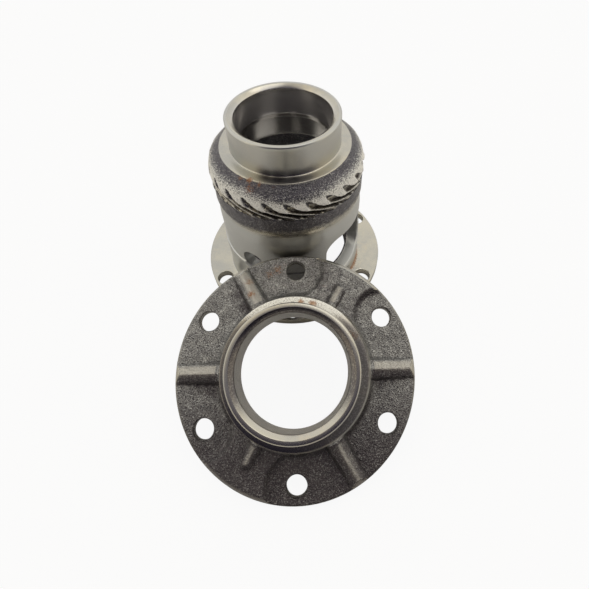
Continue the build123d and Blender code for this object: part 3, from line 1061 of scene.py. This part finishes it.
coverIron = ironMaterial("cover_iron", Values(ironFinish, castColour=(0.33, 0.325, 0.315)))
origin, axes = coverPlace(coverShape)
coverPoints, coverQuads = makeHousingCover(coverShape, caseShape)
cover = meshPiece("differential_cover", (origin + coverPoints @ axes) * mm, coverQuads)
cutAway(cover, boltHoles("coverBolt", origin, axes, boltShape.coverTurn, coverShape.plate))
coverPoints = readAll(cover.data.vertices, "co", np.float32, 3).astype(float) / mm
coverLocal = (coverPoints - origin) @ axes.T
finishCover(cover.data, coverLocal, coverShape, caseShape, axes, coverMarksAndShade)
dressPiece(cover, "housing_cover", coverIron)

# camera

cameraView = Values(
    place=(0.0, -198.04, 246.28),
    downDegrees=51.27,
    turnDegrees=-7.05,  # to the right is negative
    rollDegrees=0.4,
    focalPixels=401.2,
    centrePixel=(326.35, 249.84),  # where the lens axis meets the picture
    picturePixels=589,
    sensor=36.0,
)


def addCamera(spec):
    # a pinhole with a shifted picture plane: turned about Z, tipped down, then rolled; its lens is
    # focal pixels / picture pixels times the sensor, and its shifts are shares of the picture
    data = bpy.data.cameras.new("camera")
    camera = linkObject("camera", data)
    half = spec.picturePixels / 2
    data.sensor_width = spec.sensor
    data.lens = spec.focalPixels / spec.picturePixels * spec.sensor
    data.shift_x = (half - spec.centrePixel[0]) / spec.picturePixels
    data.shift_y = (spec.centrePixel[1] - half) / spec.picturePixels
    data.clip_start, data.clip_end = 0.01, 20
    turn = Matrix.Rotation(math.radians(spec.turnDegrees), 4, "Z")
    tip = Matrix.Rotation(math.radians(90 - spec.downDegrees), 4, "X")
    roll = Matrix.Rotation(math.radians(spec.rollDegrees), 4, "Z")
    camera.matrix_world = Matrix.Translation(Vector(spec.place) * mm) @ turn @ tip @ roll
    bpy.context.scene.camera = camera


addCamera(cameraView)

# studio: white world with a dim patch overhead in front, pale floor, one soft lamp

studio = Values(
    shadeDirection=(0.0, -0.9, 0.44),  # where the photographer stands
    levels=(  # (cosine to it, colour)
        (-1.0, (0.90, 0.89, 0.88)),
        (0.0, (0.98, 0.96, 0.90)),
        (0.38, (1.04, 0.96, 0.80)),
        (0.53, (0.90, 0.83, 0.70)),
        (0.63, (0.50, 0.47, 0.44)),
        (0.72, (0.16, 0.15, 0.19)),
        (0.82, (0.048, 0.044, 0.075)),
        (1.0, (0.028, 0.025, 0.045)),
    ),
    floorColour=(0.76, 0.75, 0.73),
    floorWhite=0.92,  # share of plain white in what the camera sees of the floor
    floorHalf=4.0,  # metres, as are the lamp's place and size
    lampPlace=(0.28, -0.04, 1.2), lampSize=0.75, lampWatts=1.3,
)


def makeWorld(spec):
    # light by direction: the levels' colour at the cosine between it and shadeDirection, while the
    # camera itself sees plain white
    world = bpy.data.worlds.new("studio")
    bpy.context.scene.world = world
    world.use_nodes = True
    tree = world.node_tree
    tree.nodes.clear()
    direction = addNode(tree, "TexCoord").outputs["Generated"]
    both = {0: direction, 1: spec.shadeDirection}
    cosine = addNode(tree, "VectorMath", {"operation": "DOT_PRODUCT"}, both)
    place = rangeNode(tree, cosine.outputs["Value"], -1, 1, kind="LINEAR")
    ramp = addNode(tree, "ValToRGB", None, {"Fac": place})
    ramp.color_ramp.interpolation = "LINEAR"
    while len(ramp.color_ramp.elements) < len(spec.levels):
        ramp.color_ramp.elements.new(0.5)
    for element, (level, colour) in zip(ramp.color_ramp.elements, spec.levels):
        element.position = (level + 1) / 2
        element.color = (*colour, 1)
    light, white = (addNode(tree, "Background", None, {"Color": colour, "Strength": 1.0})
                    for colour in (ramp.outputs["Color"], (1, 1, 1, 1)))
    seen = addNode(tree, "LightPath").outputs["Is Camera Ray"]
    mixShaders(tree, seen, light, white, "OutputWorld")


def makeFloor(spec):
    # a level square: matt paper, with floorWhite of plain white mixed in for the camera alone
    mesh = bpy.data.meshes.new("floor")
    half = spec.floorHalf
    corners = [(x * half, y * half, 0) for x, y in ((-1, -1), (1, -1), (1, 1), (-1, 1))]
    mesh.from_pydata(corners, [], [(0, 1, 2, 3)])
    material = bpy.data.materials.new("pale_floor")
    material.use_nodes = True
    tree = material.node_tree
    tree.nodes.clear()
    paper = addNode(tree, "BsdfDiffuse", None, {"Color": (*spec.floorColour, 1)})
    white = addNode(tree, "Emission", None, {"Color": (1, 1, 1, 1), "Strength": 1.0})
    paths = addNode(tree, "LightPath").outputs
    seen = mathNode(tree, "MAXIMUM", paths["Is Camera Ray"], paths["Is Transmission Ray"])
    share = mathNode(tree, "MULTIPLY", seen, spec.floorWhite)
    mixShaders(tree, share, paper, white, "OutputMaterial")
    mesh.materials.append(material)
    floor = linkObject("floor", mesh)


def addLamp(spec):
    # a round area lamp at lampPlace, pointed at the origin
    data = bpy.data.lights.new("softLamp", "AREA")
    data.shape, data.size, data.energy = "DISK", spec.lampSize, spec.lampWatts
    lamp = linkObject("softLamp", data)
    lamp.location = spec.lampPlace
    lamp.rotation_euler = (-Vector(spec.lampPlace)).to_track_quat("-Z", "Y").to_euler()


makeWorld(studio)
makeFloor(studio)
addLamp(studio)
bpy.context.scene.view_settings.view_transform = "Standard"
print("studio ready")
